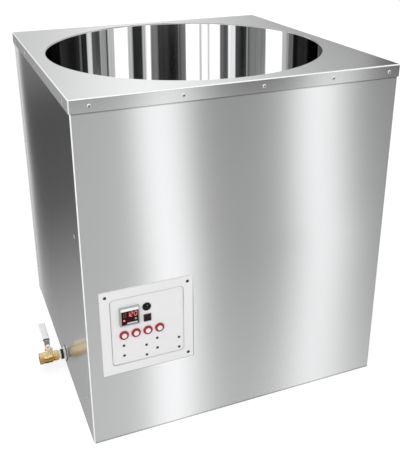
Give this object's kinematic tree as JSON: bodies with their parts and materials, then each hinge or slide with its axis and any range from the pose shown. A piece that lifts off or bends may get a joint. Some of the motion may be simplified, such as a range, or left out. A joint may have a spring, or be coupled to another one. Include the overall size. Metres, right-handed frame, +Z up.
{
  "type": "candle wax melter",
  "caption": "Square stainless cabinet with an open round heated tank for melting candle wax, a front control panel and a side outlet valve.",
  "frame": {"origin": "centre of the cabinet's underside, on the floor", "axes": "+X to the right along the front, +Y from the front to the back, +Z up; the valve is on the -X side"},
  "size_m": [0.8728, 0.8269, 0.875],
  "materials": {
    "brushed_steel": "brushed stainless sheet",
    "cover_steel": "brushed stainless sheet, finer grain",
    "tray_steel": "mill-finish stainless sheet",
    "mirror_steel": "polished stainless",
    "galvanised": "galvanised",
    "fastener_steel": "bright zinc",
    "mica_band": "steel-clad mica",
    "mineral_wool": "mineral wool",
    "silicone_seal": "heat-resistant silicone",
    "sensor_steel": "stainless",
    "black_plastic": "moulded",
    "rocker_black": "gloss",
    "black_rubber": "soft black",
    "flange_chrome": "plated",
    "black_nut": "blackened steel",
    "brass": "forged and turned",
    "ptfe": "PTFE",
    "lever_steel": "zinc-plated strip",
    "white_sleeve": "dipped vinyl",
    "white_panel": "moulded white",
    "controller_grey": "silver-grey moulding",
    "display_window": "dark red window",
    "key_grey": "membrane keys",
    "square_lens": "dark red lens",
    "collar_red": "moulded red",
    "cap_white": "moulded white",
    "terminal_cream": "moulded"
  },
  "bodies": {
    "cabinet": {"casing_wrap": "brushed_steel", "rear_cover": "brushed_steel", "rear_cover_screws": "fastener_steel", "top_cover": "cover_steel", "cover_rivets": "fastener_steel", "base_tray": "tray_steel", "base_rails": "galvanised", "corner_posts": "galvanised", "post_rivets": "fastener_steel", "tank": "mirror_steel", "tank_seal": "silicone_seal", "heater_band_1": "mica_band", "heater_band_2": "mica_band", "heater_band_3": "mica_band", "heater_band_4": "mica_band", "heater_clamp_bolts": "fastener_steel", "insulation_blanket": "mineral_wool", "insulation_jacket": "galvanised", "floor_insulation": "mineral_wool", "temperature_probe": "sensor_steel", "overheat_thermostat": "black_plastic", "outlet_pipe": "mirror_steel", "outlet_gasket": "black_rubber", "outlet_flange": "flange_chrome", "outlet_locknut": "black_nut", "valve_body": "brass", "valve_end_adapter": "brass", "valve_seats": "ptfe", "stem_packing": "ptfe", "packing_nut": "flange_chrome", "control_panel": "white_panel", "panel_gasket": "black_rubber", "panel_screws": "black_nut", "hole_plug": "white_panel", "controller_housing": "controller_grey", "controller_window": "display_window", "controller_keys": "key_grey", "controller_clamp": "black_plastic", "main_switch_body": "black_plastic", "square_button_body": "black_plastic", "button_collars": "collar_red", "button_nuts": "fastener_steel", "button_switches": "black_plastic", "relays": "black_plastic", "relay_screws": "black_nut", "terminal_block": "terminal_cream", "cable_gland": "black_plastic", "gland_dome_nut": "black_plastic"},
    "valve_handle": {"valve_ball": "flange_chrome", "valve_stem": "flange_chrome", "valve_lever": "lever_steel", "lever_nut": "flange_chrome", "lever_collar": "black_rubber", "lever_sleeve": "white_sleeve"},
    "main_rocker": {"main_switch_rocker": "rocker_black"},
    "square_button": {"square_button_cap": "square_lens"},
    "push_button_1": {"button_cap_1": "cap_white"},
    "push_button_2": {"button_cap_2": "cap_white"},
    "push_button_3": {"button_cap_3": "cap_white"},
    "push_button_4": {"button_cap_4": "cap_white"}
  },
  "joints": [
    {"name": "valve_turn", "type": "hinge", "parent": "cabinet", "child": "valve_handle", "pos_m": [-0.4452, -0.06, 0.035], "axis": [0, 0, 1], "range_deg": [0, 90]},
    {"name": "main_rocker_tilt", "type": "hinge", "parent": "cabinet", "child": "main_rocker", "pos_m": [-0.2526, -0.3982, 0.3618], "axis": [1, 0, 0], "range_deg": [-20, 0]},
    {"name": "square_button_press", "type": "slide", "parent": "cabinet", "child": "square_button", "axis": [0, 1, 0], "range_m": [0, 0.0015], "stiffness_N_per_m": 300, "springref_m": -0.003},
    {"name": "push_button_1_press", "type": "slide", "parent": "cabinet", "child": "push_button_1", "axis": [0, 1, 0], "range_m": [0, 0.003], "stiffness_N_per_m": 300, "springref_m": -0.003},
    {"name": "push_button_2_press", "type": "slide", "parent": "cabinet", "child": "push_button_2", "axis": [0, 1, 0], "range_m": [0, 0.003], "stiffness_N_per_m": 300, "springref_m": -0.003},
    {"name": "push_button_3_press", "type": "slide", "parent": "cabinet", "child": "push_button_3", "axis": [0, 1, 0], "range_m": [0, 0.003], "stiffness_N_per_m": 300, "springref_m": -0.003},
    {"name": "push_button_4_press", "type": "slide", "parent": "cabinet", "child": "push_button_4", "axis": [0, 1, 0], "range_m": [0, 0.003], "stiffness_N_per_m": 300, "springref_m": -0.003}
  ]
}
